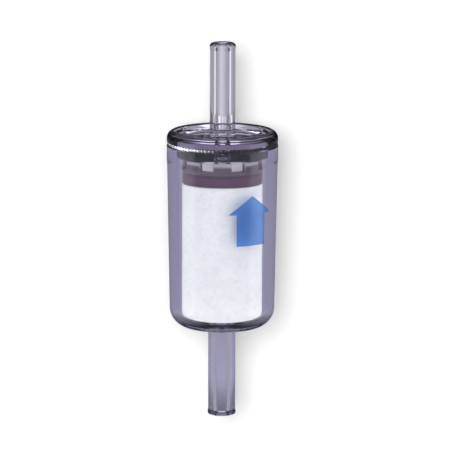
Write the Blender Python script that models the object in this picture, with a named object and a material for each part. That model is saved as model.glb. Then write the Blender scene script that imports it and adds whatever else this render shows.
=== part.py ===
"""In-line compressed air filter with a welded clear housing.

Units are metres and +Z is up, along the air's way through the filter. The origin is the centre
of the inlet stub's end face, at the bottom. The bowl stands on its stub, the filter tube stands
on the bowl's seat, the retainer closes the filter tube, and the cap closes the bowl and bears on
the retainer. Every height above the bowl's floor follows from that stack.
"""

import math

import bmesh
import bpy

SEGMENTS = 64
ROUND_STEPS = 6
SMALL_ROUND_STEPS = 3
FIT_GAP = 0.0003

# Tube stubs and the bore through them
BORE_RADIUS = 0.00135
INLET_STUB_RADIUS = 0.0034
INLET_STUB_LENGTH = 0.0225
INLET_TIP_ROUND = 0.0005
OUTLET_STUB_RADIUS = 0.003175
OUTLET_STUB_LENGTH = 0.0221
OUTLET_TIP_ROUND = 0.0009
TIP_LIP_PROUD = 0.0001
TIP_LIP_HEIGHT = 0.0011
STUB_ROOT_ROUND = 0.0004

# Filter tube
ELEMENT_BORE_RADIUS = 0.0070
ELEMENT_WALL = 0.0030
ELEMENT_LENGTH = 0.0341
ELEMENT_CHAMFER = 0.0002

# Bowl, from the filter tube outwards
AIR_GAP = 0.00135
BOWL_TAPER = 0.00043
BOWL_FOOT_WALL = 0.00175
BOWL_TOP_WALL = 0.0020
BOWL_FLOOR = 0.00175
BOWL_INNER_ROUND = 0.00335
COLLAR_PROUD = 0.00012
COLLAR_HEIGHT = 0.0040
COLLAR_BLEND = 0.0012
JOINT_CHAMFER = 0.00025

# Seat and centring ring inside the bowl's floor
SEAT_CLEARANCE = 0.0004
SEAT_WIDTH = 0.0023
RING_HEIGHT = 0.0030
RING_WALL = 0.0012

# Retainer
RETAINER_HEIGHT = 0.0063
RETAINER_FLANGE = 0.0019
RETAINER_WALL = 0.0012
SKIRT_WALL = 0.0010
SPIGOT_DEPTH = 0.0030
HUB_STEP = 0.0004
AIR_WAY = 0.0023
RETAINER_CHAMFER = 0.0002
NOTCH_COUNT = 8
NOTCH_ANGLE = math.radians(19.0)

# Cap
CAP_RIM_HEIGHT = 0.0031
CAP_EDGE_ROUND = 0.0019
PLUG_DEPTH = 0.0034
PLUG_CHAMFER = 0.0005
RIM_WIDTH = 0.0042
DISH_DEPTH = 0.0013
DISH_SLOPE_WIDTH = 0.0006
DISH_LIP_ROUND = 0.0004

# Radii that follow from the ones above
ELEMENT_RADIUS = ELEMENT_BORE_RADIUS + ELEMENT_WALL
SPIGOT_RADIUS = ELEMENT_BORE_RADIUS - FIT_GAP
HUB_RADIUS = SPIGOT_RADIUS + HUB_STEP
BOWL_INNER_FOOT_RADIUS = ELEMENT_RADIUS + AIR_GAP
BOWL_INNER_TOP_RADIUS = BOWL_INNER_FOOT_RADIUS + BOWL_TAPER
BOWL_FOOT_RADIUS = BOWL_INNER_FOOT_RADIUS + BOWL_FOOT_WALL
BOWL_TOP_RADIUS = BOWL_INNER_TOP_RADIUS + BOWL_TOP_WALL
COLLAR_RADIUS = BOWL_TOP_RADIUS + COLLAR_PROUD
DISH_RADIUS = COLLAR_RADIUS - RIM_WIDTH

# Heights of the stack, from the inlet stub's end
BOWL_BASE_Z = INLET_STUB_LENGTH
FLOOR_Z = BOWL_BASE_Z + BOWL_FLOOR
FOOT_Z = FLOOR_Z + BOWL_INNER_ROUND


def floor_height(radius):
    """Height of the bowl's inner surface at a radius, on its floor or on the round that ends it."""
    reach = radius - (BOWL_INNER_FOOT_RADIUS - BOWL_INNER_ROUND)
    if reach <= 0.0:
        return FLOOR_Z
    return FOOT_Z - math.sqrt(BOWL_INNER_ROUND ** 2 - reach ** 2)


SEAT_Z = floor_height(ELEMENT_RADIUS) + SEAT_CLEARANCE
ELEMENT_TOP_Z = SEAT_Z + ELEMENT_LENGTH
PLUG_Z = ELEMENT_TOP_Z + RETAINER_HEIGHT
JOINT_Z = PLUG_Z + PLUG_DEPTH
CAP_TOP_Z = JOINT_Z + CAP_RIM_HEIGHT
OUTLET_TIP_Z = CAP_TOP_Z + OUTLET_STUB_LENGTH

CUTTER_MARGIN = 0.0005


def material(name, colour, roughness, transmission=0.0):
    """A plain finish for one piece."""
    finish = bpy.data.materials.new(name)
    finish.use_nodes = True
    shader = finish.node_tree.nodes["Principled BSDF"]
    shader.inputs["Base Color"].default_value = (*colour, 1.0)
    shader.inputs["Roughness"].default_value = roughness
    shader.inputs["Metallic"].default_value = 0.0
    shader.inputs["Transmission Weight"].default_value = transmission
    return finish


def arc(centre, radius, start_deg, end_deg, steps):
    """Points along an arc in the (r, z) plane, both ends included."""
    points = []
    for step in range(steps + 1):
        angle = math.radians(start_deg + (end_deg - start_deg) * step / steps)
        points.append((centre[0] + radius * math.cos(angle), centre[1] + radius * math.sin(angle)))
    return points


def slope_between(low, high, z):
    """Radius at height z on the straight line between two (r, z) points."""
    share = (z - low[1]) / (high[1] - low[1])
    return low[0] + (high[0] - low[0]) * share


def link(name, bm, finish):
    """Makes the object of a finished bmesh, smooth on its round faces and crisp on its edges."""
    bmesh.ops.remove_doubles(bm, verts=bm.verts, dist=1e-7)
    bmesh.ops.recalc_face_normals(bm, faces=bm.faces)
    mesh = bpy.data.meshes.new(name)
    bm.to_mesh(mesh)
    bm.free()
    mesh.shade_smooth()
    mesh.set_sharp_from_angle(angle=math.radians(35.0))
    mesh.materials.append(finish)
    piece = bpy.data.objects.new(name, mesh)
    bpy.context.scene.collection.objects.link(piece)
    return piece


def revolve(name, profile, finish, closed=True):
    """Turns a profile of (r, z) points round the Z axis.

    A closed profile joins its last point to its first. An open one starts and ends on the axis.
    """
    bm = bmesh.new()
    ring = [bm.verts.new((r, 0.0, z)) for r, z in profile]
    pairs = list(zip(ring, ring[1:]))
    if closed:
        pairs.append((ring[-1], ring[0]))
    edges = [bm.edges.new(pair) for pair in pairs]
    bmesh.ops.spin(
        bm,
        geom=ring + edges,
        cent=(0.0, 0.0, 0.0),
        axis=(0.0, 0.0, 1.0),
        angle=2.0 * math.pi,
        steps=SEGMENTS,
        use_merge=True,
    )
    return link(name, bm, finish)


def stub_tip(radius, tip_round, tip_z, root_side):
    """Outer half of a stub's end, from the end face to the plain tube.

    root_side is +1 where the tube runs up from its tip, and -1 where it runs down.
    """
    lip_radius = radius + TIP_LIP_PROUD
    centre = (lip_radius - tip_round, tip_z + root_side * tip_round)
    points = arc(centre, tip_round, -90.0 * root_side, 0.0, SMALL_ROUND_STEPS)
    points.append((lip_radius, tip_z + root_side * TIP_LIP_HEIGHT))
    points.append((radius, tip_z + root_side * (TIP_LIP_HEIGHT + 2.0 * TIP_LIP_PROUD)))
    return points


def make_bowl(finish):
    """The bowl with its inlet stub, seat and centring ring in one piece."""
    collar_z = JOINT_Z - COLLAR_HEIGHT
    outer_round = BOWL_INNER_ROUND + BOWL_FLOOR
    outer_centre = (BOWL_FOOT_RADIUS - outer_round, FOOT_Z)
    inner_centre = (BOWL_INNER_FOOT_RADIUS - BOWL_INNER_ROUND, FOOT_Z)
    ring_outer = SPIGOT_RADIUS
    ring_inner = ring_outer - RING_WALL
    seat_outer = ring_outer + SEAT_WIDTH
    seat_foot_z = floor_height(seat_outer)
    start_deg = -math.degrees(math.asin((FOOT_Z - seat_foot_z) / BOWL_INNER_ROUND))

    profile = [(BORE_RADIUS, 0.0)]
    profile += stub_tip(INLET_STUB_RADIUS, INLET_TIP_ROUND, 0.0, 1)
    root_centre = (INLET_STUB_RADIUS + STUB_ROOT_ROUND, BOWL_BASE_Z - STUB_ROOT_ROUND)
    profile += arc(root_centre, STUB_ROOT_ROUND, 180.0, 90.0, SMALL_ROUND_STEPS)
    profile += arc(outer_centre, outer_round, -90.0, 0.0, 2 * ROUND_STEPS)
    profile.append((BOWL_TOP_RADIUS, collar_z - COLLAR_BLEND))
    profile.append((COLLAR_RADIUS, collar_z))
    profile.append((COLLAR_RADIUS, JOINT_Z - JOINT_CHAMFER))
    profile.append((COLLAR_RADIUS - JOINT_CHAMFER, JOINT_Z))
    profile.append((BOWL_INNER_TOP_RADIUS, JOINT_Z))
    profile += reversed(arc(inner_centre, BOWL_INNER_ROUND, start_deg, 0.0, ROUND_STEPS))
    profile.append((seat_outer, seat_foot_z))
    profile.append((seat_outer, SEAT_Z))
    profile.append((ring_outer, SEAT_Z))
    profile.append((ring_outer, SEAT_Z + RING_HEIGHT))
    profile.append((ring_inner, SEAT_Z + RING_HEIGHT))
    profile.append((ring_inner, FLOOR_Z))
    profile.append((BORE_RADIUS, FLOOR_Z))
    return revolve("bowl", profile, finish)


def make_element(finish):
    """The filter tube, with its ends' edges broken."""
    outer, inner, chamfer = ELEMENT_RADIUS, ELEMENT_BORE_RADIUS, ELEMENT_CHAMFER
    profile = [
        (inner, SEAT_Z),
        (outer - chamfer, SEAT_Z),
        (outer, SEAT_Z + chamfer),
        (outer, ELEMENT_TOP_Z - chamfer),
        (outer - chamfer, ELEMENT_TOP_Z),
        (inner, ELEMENT_TOP_Z),
    ]
    return revolve("filter_element", profile, finish)


def notch_cutter():
    """One cutter that holds a wedge for each notch of the retainer's skirt."""
    low_z = PLUG_Z - AIR_WAY
    high_z = PLUG_Z + CUTTER_MARGIN
    inner = ELEMENT_RADIUS - SKIRT_WALL - CUTTER_MARGIN
    outer = ELEMENT_RADIUS + CUTTER_MARGIN
    bm = bmesh.new()
    for number in range(NOTCH_COUNT):
        middle = 2.0 * math.pi * (number + 0.5) / NOTCH_COUNT - math.pi / 2.0
        rows = []
        for step in range(SMALL_ROUND_STEPS + 1):
            angle = middle + NOTCH_ANGLE * (step / SMALL_ROUND_STEPS - 0.5)
            corners = ((inner, low_z), (outer, low_z), (outer, high_z), (inner, high_z))
            row = [bm.verts.new((r * math.cos(angle), r * math.sin(angle), z)) for r, z in corners]
            rows.append(row)
        for here, there in zip(rows, rows[1:]):
            for side in range(4):
                after = (side + 1) % 4
                bm.faces.new((here[side], here[after], there[after], there[side]))
        bm.faces.new(reversed(rows[0]))
        bm.faces.new(rows[-1])
    bmesh.ops.recalc_face_normals(bm, faces=bm.faces)
    mesh = bpy.data.meshes.new("notch_cutter")
    bm.to_mesh(mesh)
    bm.free()
    cutter = bpy.data.objects.new("notch_cutter", mesh)
    cutter.hide_render = True
    cutter.display_type = "WIRE"
    bpy.context.scene.collection.objects.link(cutter)
    return cutter


def make_retainer(finish):
    """The retainer: spigot and hub in the middle, flange on the filter tube, notched skirt round it."""
    flange_z = ELEMENT_TOP_Z + RETAINER_FLANGE
    hub_z = PLUG_Z - AIR_WAY
    spigot_z = ELEMENT_TOP_Z - SPIGOT_DEPTH
    skirt_inner = ELEMENT_RADIUS - SKIRT_WALL
    hollow = SPIGOT_RADIUS - RETAINER_WALL
    chamfer = RETAINER_CHAMFER
    profile = [
        (0.0, hub_z),
        (HUB_RADIUS - chamfer, hub_z),
        (HUB_RADIUS, hub_z - chamfer),
        (HUB_RADIUS, flange_z),
        (skirt_inner, flange_z),
        (skirt_inner, PLUG_Z),
        (ELEMENT_RADIUS, PLUG_Z),
        (ELEMENT_RADIUS, ELEMENT_TOP_Z),
        (SPIGOT_RADIUS, ELEMENT_TOP_Z),
        (SPIGOT_RADIUS, spigot_z + chamfer),
        (SPIGOT_RADIUS - chamfer, spigot_z),
        (hollow, spigot_z),
        (hollow, hub_z - RETAINER_WALL),
        (0.0, hub_z - RETAINER_WALL),
    ]
    piece = revolve("element_retainer", profile, finish, closed=False)
    cut = piece.modifiers.new("notches", "BOOLEAN")
    cut.operation = "DIFFERENCE"
    cut.solver = "EXACT"
    cut.object = notch_cutter()
    return piece


def make_cap(finish):
    """The cap with its plug, dished top and outlet stub in one piece."""
    foot, top = (BOWL_INNER_FOOT_RADIUS, FOOT_Z), (BOWL_INNER_TOP_RADIUS, JOINT_Z)
    plug_radius = slope_between(foot, top, PLUG_Z) - FIT_GAP
    dish_z = CAP_TOP_Z - DISH_DEPTH
    edge_centre = (COLLAR_RADIUS - CAP_EDGE_ROUND, CAP_TOP_Z - CAP_EDGE_ROUND)
    lip_centre = (DISH_RADIUS + DISH_LIP_ROUND, CAP_TOP_Z - DISH_LIP_ROUND)
    root_centre = (OUTLET_STUB_RADIUS + STUB_ROOT_ROUND, dish_z + STUB_ROOT_ROUND)

    profile = [
        (BORE_RADIUS, PLUG_Z),
        (plug_radius - PLUG_CHAMFER, PLUG_Z),
        (plug_radius, PLUG_Z + PLUG_CHAMFER),
        (plug_radius, JOINT_Z),
        (COLLAR_RADIUS - JOINT_CHAMFER, JOINT_Z),
        (COLLAR_RADIUS, JOINT_Z + JOINT_CHAMFER),
    ]
    profile += arc(edge_centre, CAP_EDGE_ROUND, 0.0, 90.0, ROUND_STEPS)
    profile += arc(lip_centre, DISH_LIP_ROUND, 90.0, 180.0, SMALL_ROUND_STEPS)
    profile.append((DISH_RADIUS - DISH_SLOPE_WIDTH, dish_z))
    profile += arc(root_centre, STUB_ROOT_ROUND, 270.0, 180.0, SMALL_ROUND_STEPS)
    profile += reversed(stub_tip(OUTLET_STUB_RADIUS, OUTLET_TIP_ROUND, OUTLET_TIP_Z, -1))
    profile.append((BORE_RADIUS, OUTLET_TIP_Z))
    return revolve("cap", profile, finish)


def clear_scene():
    """Removes every object that the scene starts with."""
    for thing in list(bpy.data.objects):
        bpy.data.objects.remove(thing, do_unlink=True)


def main():
    """Builds the four pieces of the filter in place."""
    clear_scene()
    make_bowl(material("bowl_nylon", (0.60, 0.58, 0.72), 0.08, 0.9))
    make_cap(material("cap_nylon", (0.60, 0.58, 0.72), 0.08, 0.9))
    make_element(material("filter_fibre", (0.86, 0.87, 0.90), 0.95))
    make_retainer(material("retainer_nylon", (0.24, 0.15, 0.19), 0.30))


main()
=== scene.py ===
"""Studio scene of a clear in-line compressed air filter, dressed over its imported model.

Units are metres and +Z is up, along the air's way through the filter. Angles round the axis go from the
camera's side towards +X. The bowl and the cap are clear moulded nylon, so the filter tube, its retainer and
the bores are seen through them.
"""

import logging
import math
from collections.abc import Mapping, Sequence
from dataclasses import dataclass, field
from enum import Enum
from functools import partial, reduce

import bmesh
import bpy
from mathutils import Matrix, Vector

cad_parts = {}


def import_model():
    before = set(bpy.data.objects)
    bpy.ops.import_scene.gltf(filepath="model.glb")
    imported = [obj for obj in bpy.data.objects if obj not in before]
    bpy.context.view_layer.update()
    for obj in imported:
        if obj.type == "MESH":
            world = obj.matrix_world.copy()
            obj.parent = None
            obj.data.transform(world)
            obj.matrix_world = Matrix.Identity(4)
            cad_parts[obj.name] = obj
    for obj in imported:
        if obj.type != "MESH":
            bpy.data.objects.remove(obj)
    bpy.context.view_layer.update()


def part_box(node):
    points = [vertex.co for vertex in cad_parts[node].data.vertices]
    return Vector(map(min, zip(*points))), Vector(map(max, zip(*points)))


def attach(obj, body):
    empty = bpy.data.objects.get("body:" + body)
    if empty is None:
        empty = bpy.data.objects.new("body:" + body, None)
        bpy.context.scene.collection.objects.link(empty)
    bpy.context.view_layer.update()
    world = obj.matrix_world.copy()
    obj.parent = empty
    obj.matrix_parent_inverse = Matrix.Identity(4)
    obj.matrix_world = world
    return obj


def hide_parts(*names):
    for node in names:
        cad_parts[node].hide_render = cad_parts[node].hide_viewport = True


LOG = logging.getLogger("air_filter_scene")
CREASE = math.radians(32.0)
MERGE = 1e-7
SAME = 1e-6
# A ray's depth is over ONCE from its first turn on, and over TWICE from its second.
ONCE = 0.5
TWICE = 1.5
Point = tuple[float, float]
Place = tuple[float, float, float]
Colour = tuple[float, float, float]
Window = tuple[float, float, float, float]
Stops = tuple[Point, ...]
Mesh = bmesh.types.BMesh
Node = bpy.types.Node
Piece = bpy.types.Object
Material = bpy.types.Material
Socket = bpy.types.NodeSocket
Value = Socket | float | Sequence[float]
Inputs = Mapping[str | int, Value]
WHITE: Colour = (1.0, 1.0, 1.0)


class Slot(Enum):
    """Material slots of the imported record."""

    CLEAR_NYLON = "clear_nylon"
    FILTER_FIBRE = "filter_fibre"
    RETAINER_NYLON = "retainer_nylon"


class Solid(Enum):
    """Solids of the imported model."""

    BOWL = "bowl"
    CAP = "cap"
    FILTER_ELEMENT = "filter_element"
    ELEMENT_RETAINER = "element_retainer"


def hand_over(piece: Piece, slot: Slot, *solids: Solid) -> None:
    """Hangs a finished piece under the root body's empty, and hides the solids that it stands for.

    Args:
        piece: The finished object, with its place in its mesh.
        slot: The record's slot that its finish belongs to; not used.
        *solids: The solids that it stands for.
    """
    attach(piece, "root")
    if solids:
        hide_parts(*[solid.value for solid in solids])
    LOG.info("%s: %d faces", piece.name, len(piece.data.polygons))


def at(radius: float, angle: float, height: float) -> Place:
    """The place at a radius, an angle in radians and a height."""
    return radius * math.sin(angle), -radius * math.cos(angle), height


def link(name: str, data: bpy.types.ID) -> Piece:
    """Puts a new object into the scene.

    Args:
        name: Its name.
        data: Its mesh, lamp or camera.

    Returns:
        The object.
    """
    piece = bpy.data.objects.new(name, data)
    bpy.context.scene.collection.objects.link(piece)
    return piece


def dress(name: str, bm: Mesh, material: Material) -> Piece:
    """Makes the object of a bmesh as it stands.

    Args:
        name: The piece's name.
        bm: The mesh, which is freed.
        material: The piece's finish.

    Returns:
        The linked object.
    """
    mesh = bpy.data.meshes.new(name)
    bm.to_mesh(mesh)
    bm.free()
    mesh.materials.append(material)
    return link(name, mesh)


def finish_mesh(name: str, bm: Mesh, material: Material) -> Piece:
    """Makes a piece with outward faces, smooth where it is round and crisp at its edges.

    Args:
        name: The piece's name.
        bm: The mesh, which is freed.
        material: The piece's finish.

    Returns:
        The linked object.
    """
    bmesh.ops.remove_doubles(bm, verts=bm.verts, dist=MERGE)
    bmesh.ops.recalc_face_normals(bm, faces=bm.faces)
    piece = dress(name, bm, material)
    piece.data.shade_smooth()
    piece.data.set_sharp_from_angle(angle=CREASE)
    return piece


class Outline:
    """An outline in the (radius, height) plane, drawn run by run.

    A run past LONG gets a support point at BRACE from each end, and one under SHORT is left out.
    """

    BRACE = 0.00008
    LONG = 0.0005
    SHORT = 1e-9

    def __init__(self, radius: float, height: float) -> None:
        """Starts the outline at a point."""
        self.points: list[Point] = [(radius, height)]

    def to(self, radius: float, height: float) -> None:
        """Draws a straight run.

        Args:
            radius: Radius of the run's end.
            height: Height of the run's end.
        """
        start = Vector(self.points[-1])
        end = Vector((radius, height))
        length = (end - start).length
        if length < self.SHORT:
            return
        if length > self.LONG:
            along = (end - start) / length
            self.points.append(tuple(start + along * self.BRACE))
            self.points.append(tuple(end - along * self.BRACE))
        self.points.append((radius, height))

    def round(self, centre: Point, radius: float, start: float, end: float, steps: int = 10) -> None:
        """Draws a run to an arc's start and then the arc.

        Args:
            centre: The arc's centre.
            radius: The arc's radius.
            start: Angle of its start in degrees.
            end: Angle of its end in degrees.
            steps: How many chords it has.
        """
        angles = [math.radians(start + (end - start) * step / steps) for step in range(steps + 1)]
        arc = [(centre[0] + radius * math.cos(a), centre[1] + radius * math.sin(a)) for a in angles]
        self.to(*arc[0])
        self.points += arc[1:]

    def close(self) -> "Outline":
        """Adds the support points of the run from the last point back to the first.

        Returns:
            The outline itself.
        """
        self.to(*self.points[0])
        self.points.pop()
        return self

    def turn(self, name: str, material: Material, steps: int = 256) -> Piece:
        """Turns the closed outline round the Z axis.

        Args:
            name: The piece's name.
            material: The piece's finish.
            steps: How many facets go round.

        Returns:
            The turned piece.
        """
        bm = bmesh.new()
        angles = [math.tau * step / steps for step in range(steps)]
        rings = [[bm.verts.new(at(radius, a, height)) for a in angles] for radius, height in self.points]
        for low, high in zip(rings, rings[1:] + rings[:1]):
            for step in range(steps):
                after = (step + 1) % steps
                bm.faces.new((low[step], low[after], high[after], high[step]))
        return finish_mesh(name, bm, material)


class Sheet:
    """A node tree under construction."""

    def __init__(self, tree: bpy.types.NodeTree) -> None:
        """Takes the tree that the nodes go into."""
        self.tree = tree

    def set(self, node: Node, inputs: Inputs) -> None:
        """Joins a node's inputs to sockets, or sets their own values.

        Args:
            node: The node.
            inputs: A socket or a value for each input, by name or number.
        """
        for name, value in inputs.items():
            if isinstance(value, Socket):
                self.tree.links.new(value, node.inputs[name])
            else:
                node.inputs[name].default_value = value

    def add(self, kind: str, inputs: Inputs | None = None, **settings: object) -> Node:
        """Places a node.

        Args:
            kind: The node's type.
            inputs: A socket or a value for each input, by name or number.
            **settings: Properties to set on it.

        Returns:
            The node.
        """
        node = self.tree.nodes.new(kind)
        for name, value in settings.items():
            setattr(node, name, value)
        self.set(node, inputs or {})
        return node

    def out(
        self,
        kind: str,
        inputs: Inputs | None = None,
        output: str | int = 0,
        **settings: object,
    ) -> Socket:
        """Places a node as add does, and gives one of its outputs by name or number."""
        return self.add(kind, inputs, **settings).outputs[output]

    def math(self, operation: str, *values: Value) -> Socket:
        """The result of a Math node."""
        return self.out("ShaderNodeMath", dict(enumerate(values)), operation=operation)

    def times(self, *values: Value) -> Socket:
        """The product of values."""
        return reduce(partial(self.math, "MULTIPLY"), values)

    def plus(self, *values: Value) -> Socket:
        """The sum of values."""
        return reduce(partial(self.math, "ADD"), values)

    def less(self, value: Value, limit: float) -> Socket:
        """One where a value is under a limit, and zero elsewhere."""
        return self.math("LESS_THAN", value, limit)

    def more(self, value: Value, limit: Value) -> Socket:
        """One where a value is over a limit, and zero elsewhere."""
        return self.math("GREATER_THAN", value, limit)

    def bearing(self, x: Value, y: Value) -> Socket:
        """Angle of a direction in degrees, from +Y towards +X."""
        return self.times(self.math("ARCTAN2", x, y), 180.0 / math.pi)

    def ramp(self, value: Value, low: float, high: float, start: float = 0.0, end: float = 1.0) -> Socket:
        """Maps low to start and high to end, smoothly, and holds on beyond them."""
        inputs = {"Value": value, "From Min": low, "From Max": high, "To Min": start, "To Max": end}
        return self.out("ShaderNodeMapRange", inputs, interpolation_type="SMOOTHSTEP")

    def window(self, value: Value, edges: Window) -> Socket:
        """One inside a range and zero outside it, with smooth ends.

        Args:
            value: What is tested.
            edges: Where the share starts to rise, is one, starts to fall and is zero again.

        Returns:
            The share's socket.
        """
        rise, full, last, end = edges
        return self.times(self.ramp(value, rise, full), self.ramp(value, last, end, 1.0, 0.0))

    def noise(self, vector: Value, scale: Value, detail: float = 2.0, rough: float = 0.5) -> Socket:
        """The factor of a Noise Texture."""
        inputs = {"Vector": vector, "Scale": scale, "Detail": detail, "Roughness": rough}
        return self.out("ShaderNodeTexNoise", inputs)

    def vector(self, **parts: Value) -> Socket:
        """A vector of the parts X, Y and Z, which are zero where they aren't given."""
        return self.out("ShaderNodeCombineXYZ", parts)

    def stretch(self, vector: Value, scale: Value) -> Socket:
        """A vector times another, axis by axis."""
        return self.out("ShaderNodeVectorMath", {0: vector, 1: scale}, operation="MULTIPLY")

    def scaled(self, vector: Value, scale: Value) -> Socket:
        """A vector times a number."""
        return self.out("ShaderNodeVectorMath", {0: vector, "Scale": scale}, operation="SCALE")

    def pick(self, share: Value, first: Value, second: Value) -> Socket:
        """Mixes two levels by the share of the second."""
        return self.out("ShaderNodeMix", {0: share, 2: first, 3: second}, data_type="FLOAT")

    def blend(self, share: Value, first: Value, second: Value) -> Socket:
        """Mixes two colours by the share of the second."""
        first, second = [end if isinstance(end, Socket) else (*end, 1.0) for end in (first, second)]
        return self.out("ShaderNodeMix", {0: share, 6: first, 7: second}, 2, data_type="RGBA")

    def shades(self, place: Value, stops: Sequence[tuple[float, Colour]]) -> Socket:
        """Places a colour ramp.

        Args:
            place: Where it is read, from 0 to 1.
            stops: Pairs of place and colour, lowest place first.

        Returns:
            The colour's socket.
        """
        node = self.add("ShaderNodeValToRGB", {"Fac": place})
        elements = node.color_ramp.elements
        for number, (position, colour) in enumerate(stops):
            stop = elements[number] if number < 2 else elements.new(position)
            stop.position = position
            stop.color = (*colour, 1.0)
        return node.outputs["Color"]

    def profile(self, value: Value, stops: Stops) -> Socket:
        """A level that follows a value, which is eased over the stops' whole range before it is read.

        Args:
            value: The value, such as one part of a direction.
            stops: Pairs of value and level, lowest value first.

        Returns:
            The level's socket.
        """
        low, high = stops[0][0], stops[-1][0]
        scale = max(level for _, level in stops)
        greys = [((place - low) / (high - low), (level / scale,) * 3) for place, level in stops]
        return self.times(self.shades(self.ramp(value, low, high), greys), scale)


class SharedEffects:
    """Shader node groups that more than one finish uses."""

    def __init__(self) -> None:
        """Builds the skin of a moulding: long flow waves, fine grain, and a tone that drifts over it."""
        self.moulded_skin = bpy.data.node_groups.new("moulded_skin", "ShaderNodeTree")
        face = self.moulded_skin.interface
        face.new_socket(name="Vector", in_out="INPUT", socket_type="NodeSocketVector")
        for name, value in (("Flow Scale", 90.0), ("Grain Scale", 4000.0), ("Grain Share", 0.1)):
            face.new_socket(name=name, in_out="INPUT", socket_type="NodeSocketFloat").default_value = value
        for name in ("Height", "Tone"):
            face.new_socket(name=name, in_out="OUTPUT", socket_type="NodeSocketFloat")
        sheet = Sheet(self.moulded_skin)
        given = sheet.add("NodeGroupInput").outputs
        place = given["Vector"]
        flow = sheet.noise(sheet.stretch(place, (1.0, 1.0, 0.35)), given["Flow Scale"], 1.5)
        grain = sheet.noise(place, given["Grain Scale"], 3.0, 0.6)
        sheet.add("NodeGroupOutput", {
            "Height": sheet.plus(flow, sheet.times(grain, given["Grain Share"])),
            "Tone": sheet.ramp(sheet.noise(place, 160.0), 0.35, 0.65),
        })


class MaterialSheet(Sheet):
    """The node tree of a new material."""

    def __init__(self, name: str) -> None:
        """Makes the material.

        Args:
            name: Its name.
        """
        self.material = bpy.data.materials.new(name)
        self.material.use_nodes = True
        super().__init__(self.material.node_tree)
        self.shader = self.tree.nodes["Principled BSDF"]
        self.output = self.tree.nodes["Material Output"]
        self.place = self.out("ShaderNodeTexCoord", output="Object")

    def axes(self) -> Sequence[Socket]:
        """The place's three parts."""
        return self.add("ShaderNodeSeparateXYZ", {0: self.place}).outputs

    def carried(self, name: str) -> Socket:
        """A measure that the piece carries at each point."""
        return self.out("ShaderNodeAttribute", output="Fac", attribute_name=name)


@dataclass(frozen=True)
class Finish:
    """What every finish shares: its name, the scale of the moulded skin on it and its relief."""

    name: str
    flow: float = 500.0
    grain: float = 0.3
    relief: float = 0.3
    relief_depth: float = 0.00005

    def look(self, sheet: MaterialSheet, effects: SharedEffects) -> tuple[Socket, Inputs]:
        """Builds what makes this finish.

        Args:
            sheet: The material's sheet.
            effects: The shared node groups.

        Returns:
            The relief's height, and the inputs of the Principled BSDF.
        """
        raise NotImplementedError

    def make(self, effects: SharedEffects) -> Material:
        """Builds the material.

        Args:
            effects: The shared node groups.

        Returns:
            The material.
        """
        sheet = MaterialSheet(self.name)
        height, inputs = self.look(sheet, effects)
        bump = {"Height": height, "Strength": self.relief, "Distance": self.relief_depth}
        sheet.set(sheet.shader, {**inputs, "Normal": sheet.out("ShaderNodeBump", bump)})
        return sheet.material

    def skin(self, sheet: MaterialSheet, effects: SharedEffects) -> tuple[Socket, Socket]:
        """Places the moulded skin, and gives its height and its tone."""
        inputs = {"Vector": sheet.place, "Flow Scale": self.flow, "Grain Share": self.grain}
        return tuple(sheet.add("ShaderNodeGroup", inputs, node_tree=effects.moulded_skin).outputs)


@dataclass(frozen=True)
class ClearNylon(Finish):
    """Clear moulded nylon, faintly smoky violet where it is thick.

    The tint is in its depth: each metre of it takes up density times (1 - depth_colour) of the light.
    """

    flow: float = 110.0
    grain: float = 0.02
    relief: float = 0.12
    relief_depth: float = 0.0001
    surface: Colour = (0.995, 0.995, 1.0)
    surface_low: Colour = (0.975, 0.97, 0.985)
    depth_colour: Colour = (0.67, 0.655, 0.80)
    density: float = 180.0
    ior: float = 1.53
    roughness: Point = (0.02, 0.036)

    def look(self, sheet: MaterialSheet, effects: SharedEffects) -> tuple[Socket, Inputs]:
        """Tints the nylon in its depth, and drifts its gloss a little.

        Args:
            sheet: The material's sheet.
            effects: The shared node groups.

        Returns:
            The relief's height, and the inputs of the Principled BSDF.
        """
        height, tone = self.skin(sheet, effects)
        depth = {"Color": (*self.depth_colour, 1.0), "Density": self.density}
        sheet.set(sheet.output, {"Volume": sheet.out("ShaderNodeVolumeAbsorption", depth)})
        return height, {
            "Base Color": sheet.blend(tone, self.surface, self.surface_low),
            "Roughness": sheet.ramp(tone, 0.0, 1.0, *self.roughness),
            "IOR": self.ior,
            "Transmission Weight": 1.0,
        }


@dataclass(frozen=True)
class WeldFlash(Finish):
    """Dark glossy flash squeezed out of the weld, half clear, with a painted white glint in patches along one
    stretch at the left front.
    """

    flow: float = 1500.0
    relief_depth: float = 0.00003
    colour: Colour = (0.018, 0.017, 0.022)
    # The lighter colour, and the angles between which it is laid, make a painted glint on the flash.
    painted_glint_colour: Colour = (0.10, 0.098, 0.115)
    painted_glint_angles: Window = (-66.0, -54.0, -16.0, -4.0)
    patches: Point = (0.7, 1.0)
    clear: float = 0.4
    roughness: Point = (0.20, 0.30)

    def look(self, sheet: MaterialSheet, effects: SharedEffects) -> tuple[Socket, Inputs]:
        """Paints a patchy glint on the flash between its angles.

        Args:
            sheet: The material's sheet.
            effects: The shared node groups.

        Returns:
            The relief's height, and the inputs of the Principled BSDF.
        """
        height, tone = self.skin(sheet, effects)
        x, y, _ = sheet.axes()
        # Painted glint: the flash is lightened in patches between these angles round the ring.
        stretch = sheet.window(sheet.bearing(x, sheet.times(y, -1.0)), self.painted_glint_angles)
        painted_glint = sheet.times(stretch, sheet.ramp(tone, 0.0, 0.6, *self.patches))
        return height, {
            "Base Color": sheet.blend(painted_glint, self.colour, self.painted_glint_colour),
            "Roughness": sheet.ramp(height, 0.3, 0.9, *self.roughness),
            "Transmission Weight": self.clear,
        }


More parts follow.
